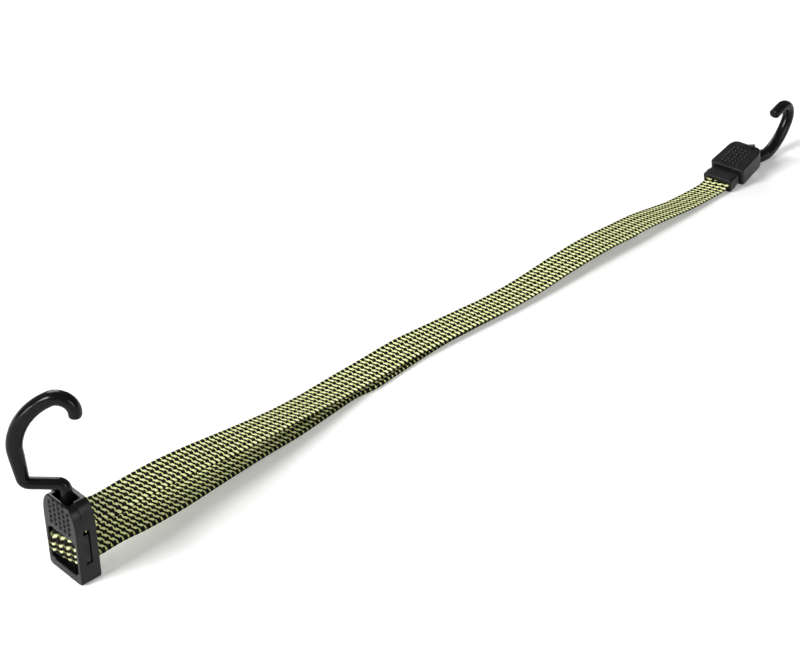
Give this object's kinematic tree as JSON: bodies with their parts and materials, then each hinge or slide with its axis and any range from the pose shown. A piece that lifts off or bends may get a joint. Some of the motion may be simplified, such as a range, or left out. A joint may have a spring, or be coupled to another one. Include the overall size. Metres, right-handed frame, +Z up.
{
  "type": "adjustable flat bungee strap",
  "caption": "Flat elastic webbing strap that loops round the bar of a moulded adjuster, with a swivelling moulded hook at the adjuster and another at the fixed clamp.",
  "frame": {"origin": "middle of the adjuster's flat base, on the floor that the strap lies on", "axes": "+X along the strap from the adjuster to the fixed clamp, +Y across the strap, +Z up"},
  "size_m": [0.6116, 0.0505, 0.0962],
  "materials": {
    "adjuster_plastic": "satin moulded nylon",
    "clamp_plastic": "fine-grained moulded nylon",
    "hook_plastic": "semi-gloss moulded nylon",
    "webbing": "woven elastic, black with pale lime checks",
    "dark_steel": "black coated steel"
  },
  "bodies": {
    "adjuster": {"adjuster_front_shell": "adjuster_plastic", "adjuster_back_shell": "adjuster_plastic"},
    "adjuster_swivel": {"adjuster_hook": "hook_plastic"},
    "lock": {"lock_bar": "dark_steel", "strap_loop": "webbing"},
    "strap_run": {"strap_main_run": "webbing"},
    "strap_free_end": {"strap_tail": "webbing"},
    "fixed_end": {"clamp_top_shell": "clamp_plastic", "clamp_bottom_shell": "clamp_plastic", "strap_ferrule": "clamp_plastic", "anchor_pin": "dark_steel", "strap_anchor_fold": "webbing"},
    "fixed_swivel": {"fixed_hook": "hook_plastic"}
  },
  "joints": [
    {"name": "adjuster_hook_swivel", "type": "hinge", "parent": "adjuster", "child": "adjuster_swivel", "pos_m": [0, 0, 0.0359], "axis": [0, 0, 1], "continuous": true},
    {"name": "lock_bar_float", "type": "slide", "parent": "adjuster", "child": "lock", "axis": [0, 0, 1], "range_m": [0, 0.0025], "deforming": ["strap_loop"]},
    {"name": "length_adjust", "type": "slide", "parent": "lock", "child": "strap_run", "axis": [1, 0, 0], "range_m": [-0.012, 0.15], "deforming": ["strap_main_run"]},
    {"name": "tail_feed", "type": "slide", "parent": "lock", "child": "strap_free_end", "axis": [1, 0, 0], "range_m": [-0.15, 0.012], "deforming": ["strap_tail"]},
    {"name": "stretch", "type": "slide", "parent": "strap_run", "child": "fixed_end", "axis": [1, 0, 0], "range_m": [0, 0.25], "stiffness_N_per_m": 200, "deforming": ["strap_main_run"]},
    {"name": "fixed_hook_swivel", "type": "hinge", "parent": "fixed_end", "child": "fixed_swivel", "pos_m": [0.54474, 0.0256, 0.01369], "axis": [0.9656, 0.0574, 0.2538], "continuous": true}
  ],
  "couplings": [
    {"joint": "tail_feed", "follows": "length_adjust", "ratio": -1}
  ]
}
